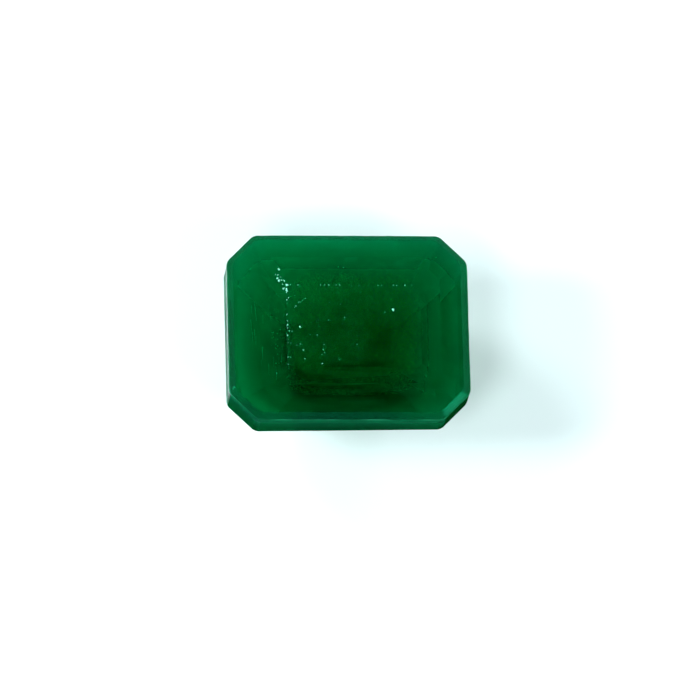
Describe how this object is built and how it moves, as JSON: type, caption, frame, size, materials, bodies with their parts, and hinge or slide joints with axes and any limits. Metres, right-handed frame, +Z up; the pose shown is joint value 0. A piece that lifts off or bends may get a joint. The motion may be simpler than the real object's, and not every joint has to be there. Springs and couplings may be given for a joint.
{
  "type": "step-cut emerald gemstone",
  "caption": "Polished emerald in an octagonal step cut, with a flat table on top, an upright wall and a stepped underside that ends in a flat culet to rest on.",
  "frame": {"origin": "middle of the stone's outline, at the height of the flat culet that it rests on", "axes": "+X along the stone's long side, +Y from its front to its back, +Z up through the table"},
  "size_m": [0.011, 0.0088, 0.0058],
  "materials": {
    "emerald_crystal": "polished and lightly worn, see-through deep green crystal with fine cloudy inclusions"
  },
  "bodies": {
    "root": {"cut_emerald": "emerald_crystal"}
  },
  "joints": []
}
